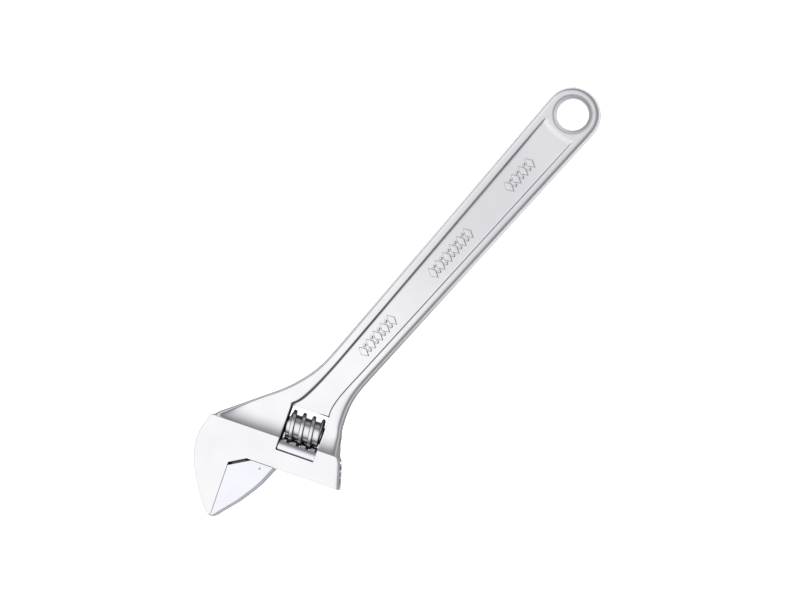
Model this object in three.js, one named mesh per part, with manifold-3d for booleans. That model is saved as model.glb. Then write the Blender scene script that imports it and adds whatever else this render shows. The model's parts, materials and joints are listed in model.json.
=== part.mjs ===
// Adjustable wrench, 300 mm class, jaws closed.
// Built in millimetres.  Working frame while building: the hang hole's centre
// is the origin, +X runs from the head to the hang hole, +Z is up and the
// wrench lies flat with its middle plane at z = 0.  The finished group is
// moved so the bounding box stands on z = 0, centred on the origin.
import * as THREE from 'three';
import Module from 'manifold-3d';

const wasm = await Module();
wasm.setup();

// ---------------------------------------------------------------- dimensions
const HANG_BORE_R = 8.5;          // hang hole
const HANG_LIP_R = 10.2;          // where the hole's rounded lip meets the face
const END_R = 15.3;               // round end of the handle
const HANDLE_TAPER = 0.0174;      // half width lost per mm towards the head
const HANDLE_HALF = 15.3;         // half width beside the hang hole
const RIM_WIDTH = 5.5;            // raised border round the handle's panel
const RIM_Z = 5.2;                // half thickness over the borders
const PANEL_Z = 3.0;              // half thickness of the web between them
const EDGE_R = 2.2;               // rounding of the handle's outer edges
const DRAFT = 0.35;               // forging draft on every outer side

const HEAD_Z = 9.0;               // half thickness of the flat head faces
const SHOULDER_Z = 6.2;           // half thickness behind the head faces
const SCOOP_START = 21.7;         // head face ends here, measured along v
const SCOOP_END = 33.3;           // the scoop is level again here

const JAW_ANGLE = 22.5;           // jaws lean this much off the handle's axis
const THROAT = [-258.6, 14.4];    // inner corner of the jaws
const JAW_DEPTH = 29.2;           // throat to nose
const FRONT_V = 5.6;              // front face the moving jaw slides on
const FACET_V = 0.7;              // sloping throat facet starts here
const JAW_GAP = 0.2;              // left between the closed jaws
const SLIDE_GAP = 0.3;            // left between the moving jaw and the front

const RAIL_V = 16.75;             // centre of the round rail
const RAIL_R = 6.2;
const RAIL_BORE_R = 6.5;
const RAIL_START = 1.0;
const RAIL_END = 44.0;
const NECK_Z = 3.2;               // half thickness of the neck under the rail
const SLOT_Z = 3.5;               // half width of the slot the neck runs in
const BORE_START = 0.4;

const WINDOW_U = [21.5, 42.3];    // opening the worm sits in
const WINDOW_V = [15.1, 40.2];
const WINDOW_CORNER = 1.6;

const WORM_V = 29.6;
const WORM_U = [22.0, 41.9];
const WORM_R = 8.8;
const WORM_CORE_R = 6.4;
const PITCH = 5.3;
const THREAD_AT_V = 24.2;         // a crest passes the +v side of the worm here
const CREST_HALF = 0.85;
const ROOT_HALF = 1.25;
const RACK_TIP_HALF = 1.6;        // half width of a rack gap at the tooth tips
const RACK_ROOT_HALF = 1.15;
const RACK_ROOT_V = 20.25;

const PIN_R = 2.3;
const PIN_BORE_R = 2.6;           // in the forging
const WORM_BORE_R = 2.38;         // the worm turns freely on the pin
const PIN_TIP = 14.0;
const PIN_HEAD_R = 3.2;
const PIN_HEAD_BORE_R = 3.5;
const PIN_HEAD = [42.9, 50.6];
const SPRING_R = 3.15;            // middle of the wire to the pin's axis
const SPRING_WIRE_R = 0.4;
const SPRING_TURNS = 4.5;
const SPRING_U = [22.1, 27.2];
const SPRING_POCKET_R = 3.9;
const SPRING_POCKET_END = 28.0;

// ------------------------------------------------------------------- helpers
const lean = THREE.MathUtils.degToRad(90 - JAW_ANGLE);
const U_DIR = [Math.cos(lean), -Math.sin(lean)];
const V_DIR = [Math.sin(lean), Math.cos(lean)];

// a point given along (u) and across (v) the jaws, in the working frame
function fromJaw(u, v) {
  return [
    THROAT[0] + u * U_DIR[0] + v * V_DIR[0],
    THROAT[1] + u * U_DIR[1] + v * V_DIR[1],
  ];
}

// the same point's u and v, from the working frame
function toJaw(x, y) {
  const dx = x - THROAT[0];
  const dy = y - THROAT[1];
  return [dx * U_DIR[0] + dy * U_DIR[1], dx * V_DIR[0] + dy * V_DIR[1]];
}

const jawFrame = new THREE.Matrix4().makeRotationZ(-lean);
jawFrame.setPosition(THROAT[0], THROAT[1], 0);

// a closed three.js geometry as a solid, with its doubled corners joined
function toSolid(geometry, matrix) {
  const shape = geometry.index ? geometry.toNonIndexed() : geometry.clone();
  if (matrix) {
    shape.applyMatrix4(matrix);
  }
  const position = shape.attributes.position;
  const seen = new Map();
  const points = [];
  const corners = [];
  for (let i = 0; i < position.count; i += 1) {
    const p = [position.getX(i), position.getY(i), position.getZ(i)];
    const key = p.map((n) => Math.round(n * 20000)).join();
    if (!seen.has(key)) {
      seen.set(key, points.length / 3);
      points.push(...p);
    }
    corners.push(seen.get(key));
  }
  const triangles = [];
  for (let i = 0; i < corners.length; i += 3) {
    const [a, b, c] = corners.slice(i, i + 3);
    if (a !== b && b !== c && a !== c) {
      triangles.push(a, b, c);
    }
  }
  const corner = (n) => new THREE.Vector3().fromArray(points, 3 * triangles[n]);
  let volume = 0;
  for (let i = 0; i < triangles.length; i += 3) {
    volume += corner(i).dot(corner(i + 1).cross(corner(i + 2)));
  }
  if (volume < 0) {
    triangles.reverse();
  }
  return new wasm.Manifold(new wasm.Mesh({
    numProp: 3,
    vertProperties: new Float32Array(points),
    triVerts: new Uint32Array(triangles),
  }));
}

function toGeometry(solid) {
  const mesh = solid.getMesh();
  const geometry = new THREE.BufferGeometry();
  const step = mesh.numProp;
  const count = mesh.vertProperties.length / step;
  const points = new Float32Array(count * 3);
  for (let i = 0; i < count; i += 1) {
    points[3 * i] = mesh.vertProperties[step * i];
    points[3 * i + 1] = mesh.vertProperties[step * i + 1];
    points[3 * i + 2] = mesh.vertProperties[step * i + 2];
  }
  geometry.setAttribute('position', new THREE.BufferAttribute(points, 3));
  geometry.setIndex(Array.from(mesh.triVerts));
  geometry.computeVertexNormals();
  return geometry;
}

// rings of points, each ring closed, skinned into one capped body
function skin(rings) {
  const points = rings.flat();
  const around = rings[0].length;
  const index = [];
  for (let r = 0; r + 1 < rings.length; r += 1) {
    for (let c = 0; c < around; c += 1) {
      const a = r * around + c;
      const b = r * around + ((c + 1) % around);
      index.push(a, b, b + around, a, b + around, a + around);
    }
  }
  const cap = (ring, offset, flip) => {
    const middle = points.length;
    const sum = ring.reduce((m, p) => [m[0] + p[0], m[1] + p[1], m[2] + p[2]], [0, 0, 0]);
    points.push(sum.map((n) => n / around));
    for (let c = 0; c < around; c += 1) {
      const a = offset + c;
      const b = offset + ((c + 1) % around);
      index.push(...(flip ? [middle, b, a] : [middle, a, b]));
    }
  };
  cap(rings[0], 0, true);
  cap(rings[rings.length - 1], (rings.length - 1) * around, false);
  const geometry = new THREE.BufferGeometry();
  geometry.setAttribute('position', new THREE.Float32BufferAttribute(points.flat(), 3));
  geometry.setIndex(index);
  return geometry;
}

// an outline in u and v, extruded both ways from the middle plane
function slab(outline, halfThickness, bevel = 0) {
  const shape = new THREE.Shape(outline.map(([u, v]) => new THREE.Vector2(u, v)));
  const geometry = new THREE.ExtrudeGeometry(shape, {
    depth: 2 * (halfThickness - bevel),
    bevelEnabled: bevel > 0,
    bevelThickness: bevel,
    bevelSize: bevel,
    bevelOffset: -bevel,
    bevelSegments: 1,
  });
  geometry.translate(0, 0, -(halfThickness - bevel));
  return toSolid(geometry);
}

// a cylinder lying along u, at height v above the throat
function rod(radius, from, to, v, sides = 32, tip = radius) {
  const geometry = new THREE.CylinderGeometry(tip, radius, to - from, sides);
  geometry.rotateZ(-Math.PI / 2);
  geometry.translate((from + to) / 2, v, 0);
  return toSolid(geometry);
}

function box(u, v, z) {
  const geometry = new THREE.BoxGeometry(u[1] - u[0], v[1] - v[0], z[1] - z[0]);
  geometry.translate((u[0] + u[1]) / 2, (v[0] + v[1]) / 2, (z[0] + z[1]) / 2);
  return toSolid(geometry);
}

function inJawFrame(solid) {
  return solid.transform(jawFrame.elements);
}

// ------------------------------------------------------------ forged body
// Half thickness of the forging over a point of its plan.
function bodyHeight(x, y) {
  const v = toJaw(x, y)[1];
  if (v <= SCOOP_START) {
    return HEAD_Z;
  }
  if (v < SCOOP_END) {
    const drop = (SCOOP_END - v) / (SCOOP_END - SCOOP_START);
    return SHOULDER_Z + (HEAD_Z - SHOULDER_Z) * drop * drop;
  }
  return RIM_Z + (SHOULDER_Z - RIM_Z) * THREE.MathUtils.smoothstep(-x, 186, 206);
}

// A rib is a straight cut across the forging: its two ends, how far the
// panel's walls stand in from each end, and the rounding of its outer edges.
function rib(left, right, leftWall, rightWall, edge, floor = PANEL_Z) {
  return { left, right, leftWall, rightWall, edge, floor };
}

function handleRib(x) {
  const half = HANDLE_HALF + HANDLE_TAPER * x;
  return rib([x, half], [x, -half], RIM_WIDTH, RIM_WIDTH, EDGE_R);
}

// ribs across the head run along the jaws' direction
function headRib(v, from, to, edge) {
  const left = fromJaw(from, v);
  const right = fromJaw(to, v);
  const inside = [WINDOW_U[0] + 2.5, WINDOW_U[1] - 2.5];
  const floor = v > SCOOP_START ? PANEL_Z : HEAD_Z;
  return rib(left, right, inside[0] - from, to - inside[1], edge, floor);
}

// smooth run of ribs through the given ones
function fair(ribs, steps) {
  const track = (pick) => new THREE.CatmullRomCurve3(
    ribs.map((r) => new THREE.Vector3(...pick(r))), false, 'catmullrom', 0.5);
  const left = track((r) => [...r.left, r.edge]);
  const right = track((r) => [...r.right, r.floor]);
  const walls = track((r) => [r.leftWall, r.rightWall, 0]);
  const run = [];
  const last = (ribs.length - 1) * steps;
  for (let i = 0; i <= last; i += 1) {
    const a = left.getPoint(i / last);
    const b = right.getPoint(i / last);
    const w = walls.getPoint(i / last);
    run.push(rib([a.x, a.y], [b.x, b.y], w.x, w.y, a.z, b.z));
  }
  return run;
}

function bodyRibs() {
  const handle = [0, -8, -20, -60, -100, -140, -168].map(handleRib);
  const neck = fair([
    handleRib(-168),
    handleRib(-180),
    rib([-188.5, 12.7], [-188.5, -12.6], 6.1, 6.1, 2.2),
    rib([-196.7, 14.5], [-196.7, -14.7], 7.7, 8.2, 2.1),
    rib([-205.1, 17.3], [-201.5, -16.8], 10.0, 10.2, 2.0),
    rib([-213.6, 21.5], [-205.1, -18.5], 13.8, 10.4, 1.9),
    rib([-222.1, 26.3], [-208.4, -20.9], 20.2, 11.0, 1.8),
    rib([-230.8, 31.1], [-211.6, -23.5], 28.2, 12.5, 1.7),
    rib([-237.7, 34.9], [-213.9, -25.6], 35.2, 13.8, 1.6),
    headRib(23.6, -15.1, 54.5, 1.6),
  ], 2);
  const corner = [
    headRib(22.2, -16.2, 55.1, 1.4),
    headRib(SCOOP_START, -18.4, 55.4, 0.8),
  ];
  const head = fair([
    headRib(SCOOP_START - 0.05, -18.4, 55.4, 0.8),
    headRib(17.0, -19.1, 56.8, 0.8),
    headRib(11.7, -20.7, 58.3, 0.8),
    headRib(5.6, -21.0, 60.0, 0.8),
    headRib(-0.5, -19.6, 62, 0.8),
    headRib(-7.5, -16.9, 62, 0.8),
    headRib(-14.0, -13.5, 62, 0.8),
    headRib(-20.0, -9.7, 62, 0.8),
    headRib(-25.0, -5.9, 62, 0.8),
    headRib(-28.2, -2.7, 62, 0.8),
    headRib(-JAW_DEPTH, -0.6, 62, 0.8),
  ], 2);
  return [...handle, ...neck.slice(1), ...corner, ...head];
}

// closed ring of points round one rib, left edge first, over the top
function ribRing(r) {
  const width = Math.hypot(r.right[0] - r.left[0], r.right[1] - r.left[1]);
  const at = (d) => [
    r.left[0] + (r.right[0] - r.left[0]) * (d / width),
    r.left[1] + (r.right[1] - r.left[1]) * (d / width),
  ];
  const height = (d) => bodyHeight(...at(d));
  const side = (wall, inward) => {
    const list = [[0, 0], [DRAFT, height(inward(DRAFT)) - r.edge]];
    [30, 60, 90].forEach((degrees) => {
      const turn = THREE.MathUtils.degToRad(degrees);
      const d = DRAFT + r.edge * (1 - Math.cos(turn));
      list.push([d, height(inward(d)) - r.edge * (1 - Math.sin(turn))]);
    });
    const top = (d) => height(inward(d));
    list.push([wall - 1.0, top(wall - 1.0)]);
    const rim = top(wall);
    const deep = Math.max(rim - r.floor, 0);
    list.push([wall - 0.2, rim - 0.2 * Math.min(deep, 1)]);
    list.push([wall + 0.7, rim - deep + 0.35 * Math.min(deep, 1)]);
    list.push([wall + 1.6, rim - deep]);
    return list.map(([d, z]) => [inward(d), z]);
  };
  const leftSide = side(r.leftWall, (d) => d);
  const rightSide = side(r.rightWall, (d) => width - d);
  const middle = (leftSide[8][0] + rightSide[8][0]) / 2;
  const floorZ = (leftSide[8][1] + rightSide[8][1]) / 2;
  const over = [...leftSide, [middle, floorZ], ...rightSide.reverse()];
  const top = over.map(([d, z]) => [...at(d), z]);
  const under = over.slice(1, -1).reverse().map(([d, z]) => [...at(d), -z]);
  return [...top, ...under];
}

// the round boss the hang hole goes through, with the handle's edge rounding
function endBoss() {
  const profile = [[0, -RIM_Z], [END_R - DRAFT - EDGE_R, -RIM_Z]];
  [60, 30, 0].forEach((degrees) => {
    const turn = THREE.MathUtils.degToRad(degrees);
    const r = END_R - DRAFT - EDGE_R * (1 - Math.cos(turn));
    profile.push([r, -(RIM_Z - EDGE_R * (1 - Math.sin(turn)))]);
  });
  profile.push([END_R, 0]);
  const upper = profile.slice(0, -1).reverse().map(([r, z]) => [r, -z]);
  return turned([...profile, ...upper], 56);
}

// a profile of radius and height, turned about the Z axis
function turned(profile, sides) {
  const points = profile.map(([r, z]) => new THREE.Vector2(r, z));
  const geometry = new THREE.LatheGeometry(points, sides);
  geometry.rotateX(Math.PI / 2);
  return toSolid(geometry);
}

// cutter for the hang hole: straight bore with a rounded lip at both faces
function hangHole() {
  const lip = HANG_LIP_R - HANG_BORE_R;
  const half = [[HANG_BORE_R, 0], [HANG_BORE_R, RIM_Z - lip]];
  [30, 60, 90].forEach((degrees) => {
    const turn = THREE.MathUtils.degToRad(degrees);
    half.push([
      HANG_LIP_R - lip * Math.cos(turn),
      RIM_Z - lip + lip * Math.sin(turn),
    ]);
  });
  half.push([HANG_LIP_R, RIM_Z + 2], [0, RIM_Z + 2]);
  const lower = half.slice(1).reverse().map(([r, z]) => [r, -z]);
  return turned([...lower, ...half], 48);
}

function windowCutter() {
  const [u0, u1] = WINDOW_U;
  const [v0, v1] = WINDOW_V;
  const c = WINDOW_CORNER;
  const outline = [];
  const corners = [
    [u1 - c, v1 - c, 0],
    [u0 + c, v1 - c, 90],
    [u0 + c, v0 + c, 180],
    [u1 - c, v0 + c, 270],
  ];
  corners.forEach(([u, v, from]) => {
    [0, 45, 90].forEach((more) => {
      const turn = THREE.MathUtils.degToRad(from + more);
      outline.push([u + c * Math.cos(turn), v + c * Math.sin(turn)]);
    });
  });
  return slab(outline, 14);
}

// everything in front of the head: the mouth the jaws open into
function mouthCutter() {
  const facetEnd = (FRONT_V - FACET_V) / Math.tan(THREE.MathUtils.degToRad(30));
  return slab([
    [0, -JAW_DEPTH - 10],
    [80, -JAW_DEPTH - 10],
    [80, FRONT_V],
    [facetEnd, FRONT_V],
    [0, FACET_V],
  ], 14);
}

function wrenchBody() {
  const rings = bodyRibs().map(ribRing);
  let body = toSolid(skin(rings)).add(endBoss()).subtract(hangHole());
  const cuts = [
    mouthCutter(),
    windowCutter(),
    rod(RAIL_BORE_R, BORE_START, 70, RAIL_V, 36),
    box([BORE_START, 80], [-8, RAIL_V], [-SLOT_Z, SLOT_Z]),
    rod(PIN_BORE_R, PIN_TIP - 0.5, 60, WORM_V, 20),
    rod(PIN_HEAD_BORE_R, WINDOW_U[1] - 1, 60, WORM_V, 24),
  ];
  cuts.forEach((cut) => {
    body = body.subtract(inJawFrame(cut));
  });
  return body;
}

// -------------------------------------------------------------- moving jaw
function hookOutline() {
  const back = new THREE.SplineCurve([
    [24.0, 5.3], [22.8, 2.7], [21.0, -1.6], [18.2, -6.9], [15.1, -11.7],
    [11.9, -16.4], [7.9, -21.2], [4.3, -25.4], [2.6, -27.6],
  ].map(([u, v]) => new THREE.Vector2(u, v)));
  const top = FRONT_V - SLIDE_GAP;
  const facetLow = FACET_V - 1.6;
  const facetEnd = JAW_GAP + (top - facetLow) / Math.tan(THREE.MathUtils.degToRad(30));
  return [
    [JAW_GAP, facetLow],
    [JAW_GAP, -JAW_DEPTH + 0.6],
    [0.9, -JAW_DEPTH],
    ...back.getPoints(14).reverse().map((p) => [p.x, p.y]),
    [facetEnd, top],
  ];
}

// cutter for the gaps between the rack's teeth, leaning with the worm's thread
function rackGaps() {
  const leadAngle = Math.atan(PITCH / (2 * Math.PI * (WORM_R - 1.1)));
  const gap = slab([
    [-RACK_ROOT_HALF, RACK_ROOT_V],
    [RACK_ROOT_HALF, RACK_ROOT_V],
    [RACK_TIP_HALF, RAIL_V + RAIL_R + 0.2],
    [RACK_TIP_HALF, RAIL_V + RAIL_R + 3],
    [-RACK_TIP_HALF, RAIL_V + RAIL_R + 3],
    [-RACK_TIP_HALF, RAIL_V + RAIL_R + 0.2],
  ], 9).rotate([0, -THREE.MathUtils.radToDeg(leadAngle), 0]);
  const gaps = [];
  const first = THREAD_AT_V + PITCH / 2;
  for (let n = -5; n <= 3; n += 1) {
    gaps.push(gap.translate([first + n * PITCH, 0, 0]));
  }
  return gaps;
}

function movableJaw() {
  const neck = slab([
    [RAIL_START + 0.2, -2.5],
    [14, -2.5],
    [20, FRONT_V + 0.6],
    [RAIL_END - 1, FRONT_V + 0.6],
    [RAIL_END - 1, RAIL_V],
    [RAIL_START + 0.2, RAIL_V],
  ], NECK_Z);
  const rail = rod(RAIL_R, RAIL_START, RAIL_END - 1, RAIL_V, 36)
    .add(rod(RAIL_R, RAIL_END - 1, RAIL_END, RAIL_V, 36, RAIL_R - 1));
  let jaw = slab(hookOutline(), HEAD_Z - 0.2, 0.6).add(neck).add(rail);
  rackGaps().forEach((gap) => {
    jaw = jaw.subtract(gap);
  });
  const mark = new THREE.ConeGeometry(1.1, 1.2, 16);
  mark.rotateX(-Math.PI / 2);
  mark.translate(16.4, 2.3, HEAD_Z - 0.2);
  return inJawFrame(jaw.subtract(toSolid(mark)));
}

// -------------------------------------------------------------------- worm
// one helical ridge, its crest crossing the +v side at THREAD_AT_V
function thread() {
  const section = [
    [WORM_CORE_R - 0.6, -ROOT_HALF - 0.08],
    [WORM_R + 0.3, -CREST_HALF],
    [WORM_R + 0.3, CREST_HALF],
    [WORM_CORE_R - 0.6, ROOT_HALF + 0.08],
  ];
  const perTurn = 24;
  const turnsBefore = Math.ceil((THREAD_AT_V - WORM_U[0]) / PITCH) + 1;
  const turnsAfter = Math.ceil((WORM_U[1] - THREAD_AT_V) / PITCH) + 1;
  const rings = [];
  for (let i = -turnsBefore * perTurn; i <= turnsAfter * perTurn; i += 1) {
    const turn = (i / perTurn) * 2 * Math.PI;
    const u = THREAD_AT_V + (i / perTurn) * PITCH;
    rings.push(section.map(([r, du]) => [
      u + du,
      WORM_V + r * Math.cos(turn),
      r * Math.sin(turn),
    ]));
  }
  return toSolid(skin(rings));
}

function worm() {
  const chamfer = 1.0;
  const [u0, u1] = WORM_U;
  const envelope = rod(WORM_R, u0 + chamfer, u1 - chamfer, WORM_V, 48)
    .add(rod(WORM_R - chamfer, u0, u0 + chamfer, WORM_V, 48, WORM_R))
    .add(rod(WORM_R, u1 - chamfer, u1, WORM_V, 48, WORM_R - chamfer));
  const solid = thread()
    .add(rod(WORM_CORE_R, u0 - 1, u1 + 1, WORM_V, 48))
    .intersect(envelope)
    .subtract(rod(WORM_BORE_R, u0 - 1, u1 + 1, WORM_V, 20))
    .subtract(rod(SPRING_POCKET_R, u0 - 1, SPRING_POCKET_END, WORM_V, 24));
  return inJawFrame(solid);
}

// the worm's axle: plain pin, threaded slotted head in the body's side
function wormPin() {
  const [h0, h1] = PIN_HEAD;
  const slot = box([h1 - 1.2, h1 + 1], [WORM_V - 5, WORM_V + 5], [-0.5, 0.5]);
  const solid = rod(PIN_R, PIN_TIP + 0.6, h0 + 1, WORM_V, 20)
    .add(rod(PIN_R - 0.6, PIN_TIP, PIN_TIP + 0.6, WORM_V, 20, PIN_R))
    .add(rod(PIN_HEAD_R, h0, h1, WORM_V, 24))
    .subtract(slot);
  return inJawFrame(solid);
}

class Coil extends THREE.Curve {
  getPoint(t, target = new THREE.Vector3()) {
    const turn = t * SPRING_TURNS * 2 * Math.PI;
    const [u0, u1] = SPRING_U;
    return target.set(
      u0 + SPRING_WIRE_R + t * (u1 - u0 - 2 * SPRING_WIRE_R),
      WORM_V + SPRING_R * Math.cos(turn),
      SPRING_R * Math.sin(turn),
    );
  }
}

function wormSpring() {
  const wire = new THREE.Shape();
  wire.absarc(0, 0, SPRING_WIRE_R, 0, 2 * Math.PI, false);
  const geometry = new THREE.ExtrudeGeometry(wire, {
    steps: Math.round(SPRING_TURNS * 18),
    curveSegments: 8,
    bevelEnabled: false,
    extrudePath: new Coil(),
  });
  return inJawFrame(toSolid(geometry));
}

// ---------------------------------------------------------------- the group
const FINISH = {
  forging: { color: 0xb9bcc2, roughness: 0.22, metalness: 1.0 },
  jaw: { color: 0xc4c7cd, roughness: 0.18, metalness: 1.0 },
  worm: { color: 0x9a9ca1, roughness: 0.3, metalness: 1.0 },
  pin: { color: 0x85878c, roughness: 0.35, metalness: 1.0 },
  spring: { color: 0x707278, roughness: 0.4, metalness: 1.0 },
};

const pieces = [
  ['wrench_body', wrenchBody(), FINISH.forging],
  ['movable_jaw', movableJaw(), FINISH.jaw],
  ['worm', worm(), FINISH.worm],
  ['worm_pin', wormPin(), FINISH.pin],
  ['worm_spring', wormSpring(), FINISH.spring],
];

const wrench = new THREE.Group();
wrench.name = 'adjustable_wrench';
pieces.forEach(([name, solid, finish]) => {
  const mesh = new THREE.Mesh(toGeometry(solid), new THREE.MeshStandardMaterial(finish));
  mesh.name = name;
  wrench.add(mesh);
});

const bounds = new THREE.Box3().setFromObject(wrench);
const centre = bounds.getCenter(new THREE.Vector3());
wrench.children.forEach((mesh) => {
  mesh.geometry.translate(-centre.x, -centre.y, -bounds.min.z);
});

export default wrench;
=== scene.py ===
import json
import math

import bmesh
import bpy
from mathutils import Matrix, Vector


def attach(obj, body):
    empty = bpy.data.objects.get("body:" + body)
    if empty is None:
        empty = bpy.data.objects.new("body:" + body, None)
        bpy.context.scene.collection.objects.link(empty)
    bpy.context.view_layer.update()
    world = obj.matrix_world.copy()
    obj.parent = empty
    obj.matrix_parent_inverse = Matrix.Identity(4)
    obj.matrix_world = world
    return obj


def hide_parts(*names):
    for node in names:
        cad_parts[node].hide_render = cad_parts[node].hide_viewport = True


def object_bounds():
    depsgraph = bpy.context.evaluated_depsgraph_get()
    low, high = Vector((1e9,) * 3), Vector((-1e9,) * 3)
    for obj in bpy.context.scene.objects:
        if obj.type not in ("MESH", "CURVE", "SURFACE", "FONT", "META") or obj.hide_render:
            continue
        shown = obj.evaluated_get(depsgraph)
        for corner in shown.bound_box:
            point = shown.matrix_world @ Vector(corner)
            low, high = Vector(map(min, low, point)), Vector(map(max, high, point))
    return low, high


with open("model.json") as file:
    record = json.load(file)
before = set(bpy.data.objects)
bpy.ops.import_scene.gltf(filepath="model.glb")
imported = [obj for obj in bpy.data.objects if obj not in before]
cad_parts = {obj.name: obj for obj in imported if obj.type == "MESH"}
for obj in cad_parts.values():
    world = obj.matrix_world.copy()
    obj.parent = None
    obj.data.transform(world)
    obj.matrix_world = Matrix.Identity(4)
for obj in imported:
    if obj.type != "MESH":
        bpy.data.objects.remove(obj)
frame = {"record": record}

# Adjustable wrench, lying flat with its jaws closed.  Pieces are modelled in
# millimetres about the middle plane of the forging, then placed in metres.
MM = 0.001
CAD_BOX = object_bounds()

# ------------------------------------------------------------ places from CAD
JOINTS = {joint["name"]: joint for joint in frame["record"]["behaviour"]["joints"]}
OPENING_BOX = frame["record"]["physics"]["openings"][0]["box_m"]

MID_Z = JOINTS["worm_spin"]["pos_m"][2]      # the forging is the same above and below
U_DIR = Vector(JOINTS["jaw_slide"]["axis"])  # the way the moving jaw opens
V_DIR = Vector((-U_DIR.y, U_DIR.x, 0))       # from the jaws towards the handle
HANG = Vector([
    (OPENING_BOX[0][0] + OPENING_BOX[1][0]) / 2 / MM,
    (OPENING_BOX[0][1] + OPENING_BOX[1][1]) / 2 / MM,
    0,
])
WORM_V = 29.6                                # the worm's pin, from the throat
WORM_POINT = Vector(JOINTS["worm_spin"]["pos_m"]) / MM
THROAT = Vector((WORM_POINT.x, WORM_POINT.y, 0)) - V_DIR * WORM_V

# ------------------------------------------------------------- handle sizes
BORE_R, LIP_R, LIP_SLOPE, LIP_STEPS = 8.5, 10.4, 32, 6   # the hang hole and its dished lip
END_HALF, TAPER, END_STEPS = 15.3, 0.0174, 14            # half width at the hang hole
RIM, RIM_Z, FLOOR_Z = 5.5, 5.2, 3.0                      # beside the panel, and in it
HANDLE_EDGE, DRAFT = 2.2, 0.35                           # edge rounding, side wall's lean
EDGE_SOFT = 0.3                                          # share of an edge at its shoulder
PANEL_FOOT = (-0.4, -0.05, 0.25, 0.6)                    # across the panel's side wall
PANEL_SOFT, PANEL_CORNER = 0.08, 0.12                    # shares of that wall's height
END_ARC = 0.0215                                         # bow of the panel's end
FLOOR_PARTS = (0.15, 0.5, 0.85)                          # points across the panel's floor
MARK_FOOT, MARK_TOP, MARK_STEP, MARK_EDGE = 2.7, 3.95, 5.6, 0.45
MARK_HALF, MARK_WIDE = 3.7, 2.1
STUD_R, STUD_SIDES, STUD_OUT = 0.85, 10, 0.55            # out, as a share of a lozenge's
MARK_GROUPS = [(-50.8, 4), (-111.5, 6), (-167.0, 5)]     # first lozenge and how many

# --------------------------------------------------------------- head sizes
HEAD_Z, SHOULDER_Z, HEAD_EDGE = 9.0, 6.2, 1.0
SHOULDER_X, SHOULDER_LONG = -186, 20                     # where the handle grows thicker
SCOOP_START, SCOOP_END = 21.7, 33.3                      # the hollow behind the head's face
RIGHT_U, RIGHT_SLOPE, RIGHT_END_U = 55.4, 0.286, 62      # the head's right side
WINDOW_U, WINDOW_V = (21.5, 42.3), (15.1, 40.2)
WINDOW_FOOT, WINDOW_SOFT = (-0.9, -0.15, 0.0, 0.05), 0.35
JAW_DEPTH, FRONT_V, FACET_V, FACET_ANGLE = 29.2, 5.6, 0.7, 30
MOUTH_LOW_V, MOUTH_END_U = -45, 85
MOUTH_FLARE, MOUTH_FLARE_DEEP = 0.06, 0.25               # the mouth's rims open a little
RAIL_BORE_R, BORE_START, BORE_END = 6.5, 0.4, 75
SLOT_Z, SLOT_LOW_V = 3.5, -12
OVER, PLUG_END = 0.06, 3                                 # the hang plug, past the rim
CUT_THROUGH = 4                                          # a cutter's end, past a face

# --------------------------------------------------- moving jaw and worm sizes
JAW_GAP, SLIDE_GAP = 0.05, 0.07
JAW_EDGE, JAW_SINK = 0.95, 0.2                           # edge rounding, below the head's face
RAIL_V, RAIL_R, RAIL_START, RAIL_END, RAIL_EDGE = 16.75, 6.2, 1.0, 44.0, 0.6
NECK_Z, NECK_START = 3.2, 0.5
PUNCH_U, PUNCH_V, PUNCH_R, PUNCH_LONG, PUNCH_MIDDLE = 16.8, 2.9, 1.15, 2.2, 0.3
WORM_U, WORM_R, WORM_CORE_R, PITCH = (22.0, 41.9), 8.8, 6.58, 5.3
WORM_TURNS, WORM_STEPS, CREST_SOFT = 6, 56, 0.25
THREAD_AT_U, CREST_HALF, ROOT_HALF = 24.2, 0.85, 1.25    # one crest's place along u
LEAD_R = WORM_R - 1.1                                    # where the thread's lean is taken
RACK_TIP_HALF, RACK_ROOT_HALF, RACK_ROOT_V = 1.6, 1.15, 20.25
RACK_GAPS = range(-5, 4)                                 # gaps, counted from that crest
WORM_BORE_R, HUB_R, RIDGES_U, RIDGES_EDGE = 2.38, 4.6, (22.9, 41.1), 2.0
PIN_R, PIN_BORE_R, PIN_TIP = 2.3, 2.6, 14.0
PIN_HEAD_R, PIN_HEAD_BORE_R, PIN_HEAD = 3.2, 3.5, (42.9, 50.6)
PIN_BORE_END = 60
DRIVER_HALF, DRIVER_DEEP = 0.5, 1.2                      # the slot in the pin's head
SPRING_R, SPRING_WIRE_R, SPRING_TURNS, SPRING_STEPS = 3.15, 0.4, 4.5, 36
SPRING_U, POCKET_R, POCKET_END = (22.1, 27.2), 3.9, 28.0

# ------------------------------------------------------------------- finishes and painted shade
POLISH_END, SATIN_START = -50.0, 62.0        # along the wrench, where the finish changes
WAVE_SIZE, WAVE_DETAIL, GRAIN_DETAIL = 60, 3, 4
# faces more level than the second range take the satin's dulling; slopes stay brighter, a painted
# highlight
LEANING, LEVEL = (0.40, 0.88), (0.90, 0.985)             # how level a wall and a face are
WALL_ROUGHNESS = 0.38
SKY_SEEN, DEEPEST = (0.36, 0.66), 0.005                  # open sky in a recess, and the painted shade's darkest tone
RECESS_SAMPLES = 12
LIP_FADE = (0.3, 1.8)                                    # past the lip's radius
WINDOW_MARGIN, WINDOW_LEDGE = 0.15, 0.5                  # the ledge stays plated and out of the window's painted shade
# the first value below is the colour share kept on the head's side walls, a painted shade
HEAD_WALL_SHADE, LIP_ROUGHNESS, WINDOW_ROUGHNESS = 0.32, 0.5, 0.95
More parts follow.
